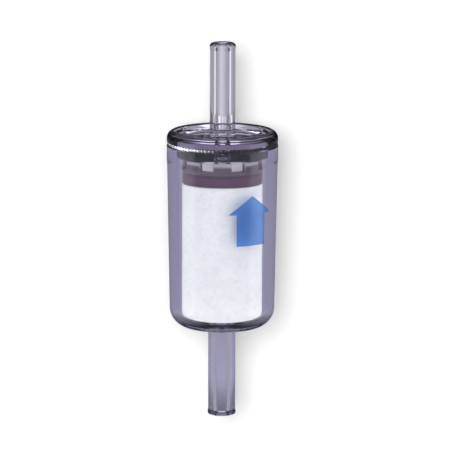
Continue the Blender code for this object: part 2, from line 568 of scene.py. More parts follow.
@dataclass(frozen=True)
class FibreFelt(Finish):
    """White bonded glass fibre, matt, with fine crossing fibres and soft mottling."""

    relief: float = 0.5
    relief_depth: float = 0.00008
    colour: Colour = (0.923, 0.921, 0.962)
    shade: Colour = (0.818, 0.818, 0.864)
    standing: Place = (1.0, 1.0, 0.22)
    lying: Place = (0.25, 0.25, 1.0)
    web_scale: float = 2600.0
    web_edges: Point = (0.42, 0.68)
    web_share: float = 0.4
    cloud_scale: float = 420.0
    cloud_edges: Point = (0.35, 0.7)
    cloud_share: float = 0.35
    fleck_scale: float = 1100.0
    fleck_edges: Point = (0.54, 0.74)
    fleck_share: float = 0.8
    roughness: float = 0.95
    gloss: float = 0.2

    def look(self, sheet: MaterialSheet, effects: SharedEffects) -> tuple[Socket, Inputs]:
        """Crosses standing and lying fibres, and shades them with soft clouds and flecks.

        Args:
            sheet: The material's sheet.
            effects: The shared node groups.

        Returns:
            The relief's height, and the inputs of the Principled BSDF.
        """
        place = sheet.place
        standing = sheet.noise(sheet.stretch(place, self.standing), self.web_scale, 3.0, 0.6)
        lying = sheet.noise(sheet.stretch(place, self.lying), self.web_scale, 3.0, 0.6)
        web = sheet.math("MAXIMUM", standing, lying)
        tone = sheet.plus(
            sheet.times(sheet.ramp(web, *self.web_edges, 1.0, 0.0), self.web_share),
            sheet.ramp(sheet.noise(place, self.cloud_scale, 3.0), *self.cloud_edges, 0.0, self.cloud_share),
            sheet.ramp(sheet.noise(place, self.fleck_scale), *self.fleck_edges, 0.0, self.fleck_share),
        )
        return web, {
            "Base Color": sheet.blend(tone, self.colour, self.shade),
            "Roughness": self.roughness,
            "Specular IOR Level": self.gloss,
        }


@dataclass(frozen=True)
class RetainerPlastic(Finish):
    """Brown-violet moulded plastic, satin, redder at its foot, with painted shade in its groove, a painted
    highlight along its skirt's upper edge and a pale hub top.
    """

    colour: Colour = (0.100, 0.070, 0.116)
    bloom: Colour = (0.150, 0.105, 0.172)
    foot_colour: Colour = (0.116, 0.056, 0.116)
    # Colour of the painted shade in the groove.
    groove_shade_colour: Colour = (0.050, 0.032, 0.055)
    # Colour of the painted highlight on the skirt's edge and of the pale hub top.
    pale: Colour = (0.92, 0.94, 1.0)
    patches: Point = (0.4, 1.0)
    roughness: Point = (0.28, 0.364)

    def look(self, sheet: MaterialSheet, effects: SharedEffects) -> tuple[Socket, Inputs]:
        """Lays the foot's colour, the groove's painted shade, and the painted highlight on the skirt's edge
        with the pale hub top over the plastic's own.

        Args:
            sheet: The material's sheet.
            effects: The shared node groups.

        Returns:
            The relief's height, and the inputs of the Principled BSDF.
        """
        height, tone = self.skin(sheet, effects)
        # Painted highlight along the skirt's upper edge and a pale hub top, broken into patches.
        pale_edge_and_hub = sheet.times(sheet.carried("pale_edge_and_hub"), sheet.ramp(height, 0.3, 0.7, *self.patches))
        colour = sheet.blend(tone, self.colour, self.bloom)
        colour = sheet.blend(sheet.carried("foot"), colour, self.foot_colour)
        # Painted shade in the groove's bottom.
        colour = sheet.blend(sheet.carried("painted_groove_shade"), colour, self.groove_shade_colour)
        return height, {
            "Base Color": sheet.blend(pale_edge_and_hub, colour, self.pale),
            "Roughness": sheet.ramp(tone, 0.0, 1.0, *self.roughness),
        }


@dataclass(frozen=True)
class PrintInk(Finish):
    """Blue printing ink, a clear film that lets blue light through, denser along its edge."""

    flow: float = 900.0
    grain: float = 0.5
    relief: float = 0.2
    relief_depth: float = 0.00002
    colour: Colour = (0.139, 0.318, 0.73)
    edge: Colour = (0.088, 0.21, 0.60)
    edge_width: float = 0.00035
    patches: float = 0.2
    clear: float = 0.86
    roughness: Point = (0.14, 0.196)

    def look(self, sheet: MaterialSheet, effects: SharedEffects) -> tuple[Socket, Inputs]:
        """Thickens the ink along the arrow's edge and in soft patches.

        Args:
            sheet: The material's sheet.
            effects: The shared node groups.

        Returns:
            The relief's height, and the inputs of the Principled BSDF.
        """
        height, tone = self.skin(sheet, effects)
        edge = sheet.ramp(sheet.carried("rim"), 0.0, self.edge_width, 1.0, 0.0)
        dense = sheet.math("MAXIMUM", edge, sheet.times(tone, self.patches))
        return height, {
            "Base Color": sheet.blend(dense, self.colour, self.edge),
            "Transmission Weight": self.clear,
            "Roughness": sheet.ramp(tone, 0.0, 1.0, *self.roughness),
        }


class Recipe(Sheet):
    """A Geometry Nodes tree that grows one plain mesh."""

    def __init__(self, name: str, inputs: Mapping[str, int | float | Material]) -> None:
        """Starts the tree.

        Args:
            name: Its name.
            inputs: The value of each named input.
        """
        super().__init__(bpy.data.node_groups.new(name, "GeometryNodeTree"))
        self.values = {}
        face = self.tree.interface
        face.new_socket(name="Geometry", in_out="OUTPUT", socket_type="NodeSocketGeometry")
        for label, value in inputs.items():
            kind = "Material" if isinstance(value, Material) else "Int" if isinstance(value, int) else "Float"
            socket = face.new_socket(name=label, in_out="INPUT", socket_type=f"NodeSocket{kind}")
            self.values[socket.identifier] = value
        self.given = self.add("NodeGroupInput").outputs

    def ring(self, resolution: Value, radius: Value) -> Socket:
        """A circle round the Z axis."""
        inputs = {"Resolution": resolution, "Radius": radius}
        return self.out("GeometryNodeCurvePrimitiveCircle", inputs, mode="RADIUS")

    def sweep(self, curve: Socket, section: Socket, caps: bool = False) -> Socket:
        """The mesh of a section swept along a curve."""
        inputs = {"Curve": curve, "Profile Curve": section, "Fill Caps": caps}
        return self.out("GeometryNodeCurveToMesh", inputs)

    def raise_by(self, geometry: Socket, height: Value) -> Socket:
        """A geometry moved up."""
        inputs = {"Geometry": geometry, "Translation": self.vector(Z=height)}
        return self.out("GeometryNodeTransform", inputs)

    def join(self, first: Socket, second: Socket) -> Socket:
        """Two geometries in one.

        Args:
            first: The first geometry.
            second: The second geometry.

        Returns:
            The joined geometry's socket.
        """
        joined = self.add("GeometryNodeJoinGeometry", {"Geometry": first})
        self.set(joined, {"Geometry": second})
        return joined.outputs[0]

    def close(self, geometry: Socket) -> None:
        """Shades the geometry smooth and ends the tree in Realize Instances and Set Material.

        Args:
            geometry: What the tree has grown.
        """
        smooth = self.out("GeometryNodeSetShadeSmooth", {"Geometry": geometry})
        real = self.out("GeometryNodeRealizeInstances", {"Geometry": smooth})
        dressed = self.out("GeometryNodeSetMaterial", {"Geometry": real, "Material": self.given["Finish"]})
        self.add("NodeGroupOutput", {"Geometry": dressed})

    def grow(self, name: str) -> Piece:
        """Grows the mesh with the inputs' values.

        Args:
            name: The piece's name.

        Returns:
            The linked object, with no modifier.
        """
        seed_mesh = bpy.data.meshes.new(f"{name}_seed")
        seed = link(f"{name}_seed", seed_mesh)
        modifier = seed.modifiers.new("recipe", "NODES")
        modifier.node_group = self.tree
        for identifier, value in self.values.items():
            modifier[identifier] = value
        seed.update_tag()
        graph = bpy.context.evaluated_depsgraph_get()
        mesh = bpy.data.meshes.new_from_object(seed.evaluated_get(graph), depsgraph=graph)
        mesh.name = name
        piece = link(name, mesh)
        bpy.data.objects.remove(seed, do_unlink=True)
        bpy.data.meshes.remove(seed_mesh)
        return piece


@dataclass(frozen=True)
class Stack:
    """Heights and radii that the pieces share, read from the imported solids."""

    seat: float
    element_top: float
    plug: float
    joint: float
    outlet_tip: float
    body_radius: float
    element_radius: float

    @classmethod
    def read(cls) -> "Stack":
        """Reads the solids' boxes.

        Returns:
            The stack.
        """
        element_low, element_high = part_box(Solid.FILTER_ELEMENT.value)
        cap_low, cap_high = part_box(Solid.CAP.value)
        bowl_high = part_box(Solid.BOWL.value)[1]
        return cls(
            seat=element_low[2],
            element_top=element_high[2],
            plug=cap_low[2],
            joint=bowl_high[2],
            outlet_tip=cap_high[2],
            body_radius=bowl_high[0],
            element_radius=element_high[0],
        )


@dataclass
class Housing:
    """The clear housing: the bowl below, the cap above, and the groove of the weld between them."""

    stack: Stack
    bowl_finish: Finish = ClearNylon("bowl_nylon")
    cap_finish: Finish = ClearNylon("cap_nylon", depth_colour=(0.705, 0.655, 0.757), density=90.0)
    bore: float = 0.00135
    edge: float = 0.00015
    bore_edge: float = 0.00006
    air: float = 0.00001
    inlet_radius: float = 0.0034
    inlet_length: float = 0.0225
    inlet_round: float = 0.0005
    inlet_slope: float = 0.00025
    outlet_radius: float = 0.003175
    outlet_round: float = 0.0009
    outlet_slope: float = 0.0006
    lip: float = 0.0001
    lip_height: float = 0.0011
    root_round: float = 0.0004
    foot_radius: float = 0.0131
    top_radius: float = 0.01378
    inner_foot: float = 0.01135
    inner_top: float = 0.01178
    floor: float = 0.00175
    inner_round: float = 0.00335
    collar_height: float = 0.0040
    collar_blend: float = 0.0012
    groove: float = 0.00046
    bowl_groove: float = 0.00068
    seat_outer: float = 0.0090
    ring_outer: float = 0.0067
    ring_inner: float = 0.0055
    ring_height: float = 0.0030
    plug_gap: float = 0.0003
    plug_chamfer: float = 0.0005
    rim_height: float = 0.0031
    edge_round: float = 0.0019
    rim_width: float = 0.0042
    dish_depth: float = 0.0013
    dish_slope: float = 0.0006
    dish_lip: float = 0.0004

    @property
    def floor_top(self) -> float:
        """Height of the floor inside the bowl."""
        return self.inlet_length + self.floor

    @property
    def foot(self) -> float:
        """Height at which the bowl's inner round ends and its wall begins."""
        return self.floor_top + self.inner_round

    def inner_radius(self, height: float) -> float:
        """Inner radius of the tapering wall at a height."""
        share = (height - self.foot) / (self.stack.joint - self.foot)
        return self.inner_foot + (self.inner_top - self.inner_foot) * share

    def outer_radius(self, height: float) -> float:
        """Outer radius of the tapering wall at a height below the collar."""
        share = (height - self.foot) / (self.stack.joint - self.collar_height - self.collar_blend - self.foot)
        return self.foot_radius + (self.top_radius - self.foot_radius) * share

    def bowl_outline(self) -> Outline:
        """Draws the bowl, from its inlet's bore up outside and down inside.

        Returns:
            The closed outline.
        """
        edge, fine, root = self.edge, self.bore_edge, self.root_round
        tube = self.inlet_radius
        lip = tube + self.lip
        tip = self.inlet_round
        outer_round = self.inner_round + self.floor
        joint = self.stack.joint
        collar = joint - self.collar_height
        body = self.stack.body_radius
        line = Outline(self.bore, fine)
        line.round((self.bore + fine, fine), fine, 180.0, 270.0, 4)
        line.round((lip - tip, tip), tip, -90.0, 0.0, 12)
        line.to(lip, self.lip_height)
        line.to(tube, self.lip_height + self.inlet_slope)
        line.round((tube + root, self.inlet_length - root), root, 180.0, 90.0, 8)
        line.round((self.foot_radius - outer_round, self.foot), outer_round, -90.0, 0.0, 36)
        line.to(self.top_radius, collar - self.collar_blend)
        line.to(body, collar)
        line.to(body, joint - self.bowl_groove)
        line.to(body - self.groove, joint - self.air)
        line.to(self.inner_top + edge, joint - self.air)
        line.to(self.inner_top, joint - self.air - edge)
        reach = self.seat_outer - (self.inner_foot - self.inner_round)
        start = -math.degrees(math.acos(max(reach, 0.0) / self.inner_round))
        line.round((self.inner_foot - self.inner_round, self.foot), self.inner_round, 0.0, start, 28)
        seat = self.stack.seat - self.air
        line.to(self.seat_outer, seat - edge)
        line.round((self.seat_outer - edge, seat - edge), edge, 0.0, 90.0, 4)
        line.to(self.ring_outer, seat)
        ring_top = self.stack.seat + self.ring_height
        line.round((self.ring_outer - edge, ring_top - edge), edge, 0.0, 90.0, 4)
        line.round((self.ring_inner + edge, ring_top - edge), edge, 90.0, 180.0, 4)
        line.to(self.ring_inner, self.floor_top)
        line.round((self.bore + edge, self.floor_top - edge), edge, 90.0, 180.0, 4)
        return line.close()

    def cap_outline(self) -> Outline:
        """Draws the cap, from its plug's bore out, over the rim, and up its outlet.

        Returns:
            The closed outline.
        """
        edge, fine, root = self.edge, self.bore_edge, self.root_round
        body, joint = self.stack.body_radius, self.stack.joint
        plug, tip = self.stack.plug, self.stack.outlet_tip
        top = joint + self.rim_height
        dish = top - self.dish_depth
        dish_radius = body - self.rim_width
        plug_radius = self.inner_radius(plug) - self.plug_gap
        tube = self.outlet_radius
        lip = tube + self.lip
        line = Outline(self.bore, plug + edge)
        line.round((self.bore + edge, plug + edge), edge, 180.0, 270.0, 4)
        line.to(plug_radius - self.plug_chamfer, plug)
        line.to(plug_radius, plug + self.plug_chamfer)
        line.to(plug_radius, joint + self.air)
        line.to(body - self.groove, joint + self.air)
        line.to(body, joint + self.groove)
        line.round((body - self.edge_round, top - self.edge_round), self.edge_round, 0.0, 90.0, 24)
        line.round((dish_radius + self.dish_lip, top - self.dish_lip), self.dish_lip, 90.0, 165.0)
        line.to(dish_radius - self.dish_slope, dish + edge)
        line.to(dish_radius - self.dish_slope - edge, dish)
        line.round((tube + root, dish + root), root, 270.0, 180.0, 8)
        line.to(tube, tip - self.lip_height - self.outlet_slope)
        line.to(lip, tip - self.lip_height)
        line.round((lip - self.outlet_round, tip - self.outlet_round), self.outlet_round, 0.0, 90.0, 16)
        line.round((self.bore + fine, tip - fine), fine, 90.0, 180.0, 4)
        return line.close()

    def build(self, effects: SharedEffects) -> None:
        """Builds the bowl and the cap in place of their solids.

        Args:
            effects: The shared node groups.
        """
        bowl = self.bowl_outline().turn("clear_bowl", self.bowl_finish.make(effects))
        hand_over(bowl, Slot.CLEAR_NYLON, Solid.BOWL)
        cap = self.cap_outline().turn("clear_cap", self.cap_finish.make(effects))
        hand_over(cap, Slot.CLEAR_NYLON, Solid.CAP)


@dataclass
class WeldSeam:
    """The weld's flash: small uneven beads in the groove between the cap and the bowl."""

    stack: Stack
    finish: Finish = WeldFlash("weld_flash")
    beads: int = 84
    steps: int = 256
    inset: float = 0.00036
    drop: float = 0.00012
    thread: float = 0.00028
    thread_facets: int = 8
    bead_length: float = 0.00062
    bead_height: float = 0.00056
    bead_depth: float = 0.00031
    bead_detail: int = 3
    smallest: Place = (0.75, 0.6, 0.45)
    largest: Place = (1.1, 1.1, 1.25)
    seed: int = 11

    def build(self, effects: SharedEffects) -> Piece:
        """Strings beads of uneven length on a thin thread in the groove.

        Args:
            effects: The shared node groups.

        Returns:
            The seam.
        """
        recipe = Recipe("weld_seam_recipe", {
            "Ring Radius": self.stack.body_radius - self.inset,
            "Height": self.stack.joint - self.drop,
            "Beads": self.beads,
            "Thread Radius": self.thread,
            "Bead Length": self.bead_length,
            "Bead Height": self.bead_height,
            "Bead Depth": self.bead_depth,
            "Seed": self.seed,
            "Finish": self.finish.make(effects),
        })
        given = recipe.given
        ring = recipe.ring(self.steps, given["Ring Radius"])
        thread = recipe.sweep(ring, recipe.ring(self.thread_facets, given["Thread Radius"]))
        stops = {"Curve": ring, "Count": given["Beads"]}
        stops = recipe.add("GeometryNodeCurveToPoints", stops, mode="COUNT").outputs
        ball = recipe.out("GeometryNodeMeshIcoSphere", {"Radius": 1.0, "Subdivisions": self.bead_detail})
        spread = {0: self.smallest, 1: self.largest, "Seed": given["Seed"]}
        spread = recipe.out("FunctionNodeRandomValue", spread, data_type="FLOAT_VECTOR")
        size = recipe.vector(X=given["Bead Depth"], Y=given["Bead Height"], Z=given["Bead Length"])
        strung = recipe.out("GeometryNodeInstanceOnPoints", {
            "Points": stops["Points"],
            "Instance": ball,
            "Rotation": stops["Rotation"],
            "Scale": recipe.stretch(size, spread),
        })
        recipe.close(recipe.raise_by(recipe.join(thread, strung), given["Height"]))
        seam = recipe.grow("weld_seam")
        hand_over(seam, Slot.CLEAR_NYLON)
        return seam


@dataclass
class FilterTube:
    """The white tube of bonded fibre, with loose fibres on its skin, past skin_from of its wall."""

    stack: Stack
    finish: Finish = FibreFelt("bonded_fibre")
    bore: float = 0.0070
    corner: float = 0.00025
    corner_steps: int = 4
    steps: int = 192
    spacing: float = 0.00042
    relief: float = 0.00006
    relief_scale: float = 700.0
    fibres: float = 480000.0
    skin_from: float = 0.95
    fibre_length: float = 0.0026
    fibre_radius: float = 0.000016
    fibre_bend: float = 0.12
    fibre_steps: int = 4
    fibre_facets: int = 3
    shortest: float = 0.4
    longest: float = 1.1
    seed: int = 5

    def sweep_wall(self, recipe: Recipe) -> Socket:
        """Sweeps the wall's rounded section round the axis and presses a soft relief into it.

        Args:
            recipe: The tree.

        Returns:
            The tube's geometry.
        """
        given = recipe.given
        wall, length = given["Wall"], given["Length"]
        ring = recipe.ring(given["Facets"], recipe.plus(given["Bore Radius"], recipe.times(wall, 0.5)))
        ring = recipe.out("GeometryNodeSetCurveNormal", {"Curve": ring}, mode="Z_UP")
        section = {"Width": wall, "Height": length}
        section = recipe.out("GeometryNodeCurvePrimitiveQuadrilateral", section, mode="RECTANGLE")
        section = {"Curve": section, "Count": self.corner_steps, "Radius": given["Corner"]}
        section = recipe.out("GeometryNodeFilletCurve", section, mode="POLY")
        section = {"Curve": section, "Length": given["Spacing"]}
        section = recipe.out("GeometryNodeResampleCurve", section, mode="LENGTH")
        middle = recipe.math("MULTIPLY_ADD", length, 0.5, given["Foot Height"])
        tube = recipe.raise_by(recipe.sweep(ring, section), middle)
        rough = recipe.noise(recipe.out("GeometryNodeInputPosition"), self.relief_scale, 3.0)
        depth = recipe.times(recipe.math("SUBTRACT", rough, 1.0), given["Relief"])
        inward = recipe.scaled(recipe.out("GeometryNodeInputNormal"), depth)
        return recipe.out("GeometryNodeSetPosition", {"Geometry": tube, "Offset": inward})

    def bend_fibre(self, recipe: Recipe) -> Socket:
        """Bends one thin fibre.

        Args:
            recipe: The tree.

        Returns:
            The fibre's mesh.
        """
        length, radius = recipe.given["Fibre Length"], recipe.given["Fibre Radius"]
        half = recipe.times(length, 0.5)
        strand = recipe.out("GeometryNodeCurveQuadraticBezier", {
            "Resolution": self.fibre_steps,
            "Start": recipe.vector(X=recipe.times(half, -1.0)),
            "Middle": recipe.vector(Y=recipe.times(length, self.fibre_bend), Z=radius),
            "End": recipe.vector(X=half),
        })
        return recipe.sweep(strand, recipe.ring(self.fibre_facets, radius), caps=True)

    def scatter_fibres(self, recipe: Recipe, tube: Socket) -> Socket:
        """Scatters short bent fibres over the tube's outer skin.

        Args:
            recipe: The tree.
            tube: The tube's geometry.

        Returns:
            The fibres as instances.
        """
        given = recipe.given
        flat = recipe.stretch(recipe.out("GeometryNodeInputPosition"), (1.0, 1.0, 0.0))
        reach = recipe.out("ShaderNodeVectorMath", {0: flat}, "Value", operation="LENGTH")
        skin = recipe.math("MULTIPLY_ADD", given["Wall"], self.skin_from, given["Bore Radius"])
        outside = recipe.more(reach, skin)
        spots = {"Mesh": tube, "Selection": outside, "Density": given["Fibres"], "Seed": given["Seed"]}
        spots = recipe.add("GeometryNodeDistributePointsOnFaces", spots).outputs
        spin = {3: math.tau, "Seed": recipe.plus(given["Seed"], 1.0)}
        spin = recipe.out("FunctionNodeRandomValue", spin, 1, data_type="FLOAT")
        about = recipe.out("FunctionNodeAxisAngleToRotation", {"Axis": (0.0, 0.0, 1.0), "Angle": spin})
        turned = {0: spots["Rotation"], 1: about}
        size = {2: self.shortest, 3: self.longest, "Seed": recipe.plus(given["Seed"], 2.0)}
        return recipe.out("GeometryNodeInstanceOnPoints", {
            "Points": spots["Points"],
            "Instance": self.bend_fibre(recipe),
            "Rotation": recipe.out("FunctionNodeRotateRotation", turned, rotation_space="LOCAL"),
            "Scale": recipe.out("FunctionNodeRandomValue", size, 1, data_type="FLOAT"),
        })

    def build(self, effects: SharedEffects) -> None:
        """Builds the tube in place of its solid.

        Args:
            effects: The shared node groups.
        """
        recipe = Recipe("filter_tube_recipe", {
            "Bore Radius": self.bore,
            "Wall": self.stack.element_radius - self.bore,
            "Length": self.stack.element_top - self.stack.seat,
            "Foot Height": self.stack.seat,
            "Corner": self.corner,
            "Facets": self.steps,
            "Spacing": self.spacing,
            "Relief": self.relief,
            "Fibres": self.fibres,
            "Fibre Length": self.fibre_length,
            "Fibre Radius": self.fibre_radius,
            "Seed": self.seed,
            "Finish": self.finish.make(effects),
        })
        tube = self.sweep_wall(recipe)
        recipe.close(recipe.join(tube, self.scatter_fibres(recipe, tube)))
        hand_over(recipe.grow("fibre_tube"), Slot.FILTER_FIBRE, Solid.FILTER_ELEMENT)


@dataclass
class Retainer:
    """The moulded plug of the filter tube, with a notched skirt that bears on the cap."""

    stack: Stack
    finish: Finish = RetainerPlastic("retainer_plastic")
    flange: float = 0.0019
    shoulder: float = 0.0003
    foot_fade: float = 0.0002
    wall: float = 0.0012
    skirt: float = 0.0010
    spigot_radius: float = 0.0067
    spigot_depth: float = 0.0030
    hub_radius: float = 0.0071
    air_way: float = 0.0023
    chamfer: float = 0.0002
    notches: int = 8
    notch_angle: float = 19.0
    notch_steps: int = 10
    leg_steps: int = 14
    air: float = 0.00001
    groove: float = 0.00095
    groove_width: float = 0.00090
    groove_depth: float = 0.00016
    groove_slope: float = 0.00012
    # Share of the painted shade on the groove's bottom ring.
    painted_groove_shade: float = 0.6
    # How pale the hub's top is painted, and the painted highlight's share by depth below the skirt's upper
    # edge.
    pale_hub: float = 0.8
    highlight_edge: Stops = ((0.0, 0.15), (0.0005, 0.42), (0.0009, 0.36), (0.0012, 0.0))

    def outline(self, top: float) -> list[Point]:
        """The retainer's outline where its skirt reaches up to a height.

        Args:
            top: Height of the skirt.

        Returns:
            Points from the hub's middle over the skirt and down into the hollow spigot.
        """
        outer = self.stack.element_radius
        tube_top = self.stack.element_top
        flange = tube_top + self.flange
        notch = self.stack.plug - self.air_way
        spigot = tube_top - self.spigot_depth
        inner = outer - self.skirt
        hollow = self.spigot_radius - self.wall
        groove = notch - self.groove
        low = groove - self.groove_width
        chamfer, slope = self.chamfer, self.groove_slope
        return [
            (0.0, notch),
            (self.hub_radius - chamfer, notch),
            (self.hub_radius, notch - chamfer),
            (self.hub_radius, flange),
            (inner, flange),
            (inner, notch),
            (inner, top),
            *((outer, max(top - depth, notch)) for depth, _ in self.highlight_edge),
            (outer, notch),
            (outer, groove + slope),
            (outer, groove),
            (outer - self.groove_depth, groove - slope),
            (outer - self.groove_depth, low + slope),
            (outer, low),
            (outer, low - slope),
            (outer, flange - self.shoulder),
            (outer, tube_top),
            (self.spigot_radius, tube_top),
            (self.spigot_radius, spigot + chamfer),
            (self.spigot_radius - chamfer, spigot),
            (hollow, spigot),
            (hollow, notch - self.wall),
            (0.0, notch - self.wall),
        ]

    def paleness(self, radius: float, height: float) -> float:
        """How pale the plastic is painted at a point: a painted highlight along the skirt's upper edge, and a
        pale hub top.

        Args:
            radius: The point's radius.
            height: The point's height.

        Returns:
            A share from 0 to 1.
        """
        for depth, share in self.highlight_edge:
            if abs(self.stack.plug - self.air - depth - height) < SAME:
                return share
        on_top = abs(height - self.stack.plug + self.air_way) < SAME
        return self.pale_hub if on_top and radius <= self.hub_radius else 0.0

    def stations(self) -> list[tuple[float, bool]]:
        """Angles round the axis, doubled at each notch's edge.

        Returns:
            Each angle in radians, and whether the skirt stands there.
        """
        pitch = math.tau / self.notches
        notch = math.radians(self.notch_angle)
        leg = pitch - notch
        found = []
        for number in range(self.notches):
            middle = pitch * number
            for start, width, steps, stands in (
                (middle - leg / 2, leg, self.leg_steps, True),
                (middle + leg / 2, notch, self.notch_steps, False),
            ):
                found += [(start + width * step / steps, stands) for step in range(steps + 1)]
        return found

    def build(self, effects: SharedEffects) -> None:
        """Builds the retainer in place of its solid.

        Args:
            effects: The shared node groups.
        """
        bm = bmesh.new()
        pale_edge_and_hub, foot, painted_groove_shade = [bm.verts.layers.float.new(name) for name in ("pale_edge_and_hub", "foot", "painted_groove_shade")]
        bottom = self.stack.element_radius - self.groove_depth
        foot_top = self.stack.element_top + self.flange + self.foot_fade
        rows = []
        for angle, stands in self.stations():
            row = []
            for radius, height in self.outline(self.stack.plug - (self.air if stands else self.air_way)):
                vert = bm.verts.new(at(radius, angle, height))
                # Painted highlight along the skirt's upper edge, and a pale hub top.
                vert[pale_edge_and_hub] = self.paleness(radius, height)
                vert[foot] = float(height < foot_top)
                # Painted shade: the groove's bottom ring is marked to be painted darker.
                vert[painted_groove_shade] = self.painted_groove_shade if abs(radius - bottom) < SAME else 0.0
                row.append(vert)
            rows.append(row)
        for here, there in zip(rows, rows[1:] + rows[:1]):
            for low, high in zip(range(len(here) - 1), range(1, len(here))):
                bm.faces.new((here[low], there[low], there[high], here[high]))
        bmesh.ops.remove_doubles(bm, verts=bm.verts, dist=2.0 * MERGE)
        bmesh.ops.dissolve_degenerate(bm, edges=bm.edges, dist=2.0 * MERGE)
        piece = finish_mesh("castellated_retainer", bm, self.finish.make(effects))
        hand_over(piece, Slot.RETAINER_NYLON, Solid.ELEMENT_RETAINER)


@dataclass
class FlowArrow:
    """The flow arrow printed on the bowl, as a skin of ink that follows the tapering wall.

    Angles are in degrees. A column stands at half_split on each side of the shaft's edges.
    """

    housing: Housing
    finish: Finish = PrintInk("arrow_ink")
    middle: float = 33.0
    head_half: float = 26.6
    shaft_half: float = 17.5
    half_split: float = 0.001
    tip: float = 0.05765
    head_foot: float = 0.05305
    shaft_foot: float = 0.0451
    columns: int = 56
    rows: int = 16
    ink: float = 0.000012
    stand: float = 0.000004

    def corners(self) -> list[Point]:
        """The arrow's corners.

        Returns:
            Each corner's angle from the arrow's middle and its height, from the tip round.
        """
        head, shaft, step = self.head_half, self.shaft_half, self.head_foot
        right = [(head, step), (shaft, step), (shaft, self.shaft_foot)]
        return [(0.0, self.tip), *right, *((-angle, height) for angle, height in reversed(right))]

    def rim_distance(self, angle: float, height: float) -> float:
        """How far a point of the arrow lies from its edge.

        Args:
            angle: The point's angle from the arrow's middle.
            height: Its height.

        Returns:
            The distance.
        """
        reach = self.housing.outer_radius(height) * math.pi / 180.0
        here = Vector((angle * reach, height))
        corners = [Vector((a * reach, z)) for a, z in self.corners()]
        nearest = 1.0
        for start, end in zip(corners, corners[1:] + corners[:1]):
            along = end - start
            share = max(0.0, min(1.0, (here - start).dot(along) / along.length_squared))
            nearest = min(nearest, (here - start - along * share).length)
        return nearest

    def columns_across(self) -> list[tuple[float, float, float]]:
        """The columns of the print, doubled where the head meets the shaft.

        Returns:
            Each column's angle from the middle, its foot and its top.
        """
        angles = [self.head_half * (2.0 * number / self.columns - 1.0) for number in range(self.columns + 1)]
        for edge in (-self.shaft_half, self.shaft_half):
            angles += [edge - self.half_split, edge + self.half_split]
        columns = []
        for angle in sorted(angles):
            top = self.tip - (self.tip - self.head_foot) * abs(angle) / self.head_half
            foot = self.shaft_foot if abs(angle) < self.shaft_half else self.head_foot
            columns.append((angle, foot, top))
        return columns

    def build(self, effects: SharedEffects) -> None:
        """Prints the arrow as a closed skin with a front, a back and a rim.

        Args:
            effects: The shared node groups.
        """
        bm = bmesh.new()
        rim = bm.verts.layers.float.new("rim")
        front, back = [], []
        for angle, foot, top in self.columns_across():
            heights = [foot + (top - foot) * row / self.rows for row in range(self.rows + 1)]
            for side, stand in ((front, self.stand + self.ink), (back, self.stand)):
                column = []
                for height in heights:
                    radius = self.housing.outer_radius(height) + stand
                    vert = bm.verts.new(at(radius, math.radians(self.middle + angle), height))
                    vert[rim] = self.rim_distance(angle, height)
                    column.append(vert)
                side.append(column)
        for here in range(len(front) - 1):
            for side in (front, back):
                near, far = side[here], side[here + 1]
                for low in range(self.rows):
                    bm.faces.new((near[low], far[low], far[low + 1], near[low + 1]))
            for row in (0, self.rows):
                bm.faces.new((front[here][row], front[here + 1][row], back[here + 1][row], back[here][row]))
        for near, far in ((front[0], back[0]), (front[-1], back[-1])):
            for low in range(self.rows):
                if (near[low].co - near[low + 1].co).length > MERGE:
                    bm.faces.new((near[low], near[low + 1], far[low + 1], far[low]))
        hand_over(finish_mesh("flow_arrow", bm, self.finish.make(effects)), Slot.CLEAR_NYLON)


class Sky(Sheet):
    """The world's node tree, with the ray's way and the parts of its direction."""

    def __init__(self, tree: bpy.types.NodeTree) -> None:
        """Places what every level reads.

        Args:
            tree: The world's node tree.
        """
        super().__init__(tree)
        self.path = self.add("ShaderNodeLightPath").outputs
        direction = self.out("ShaderNodeTexCoord", output="Generated")
        self.x, self.y, self.z = self.add("ShaderNodeSeparateXYZ", {0: direction}).outputs
        self.across = self.math("ABSOLUTE", self.x)


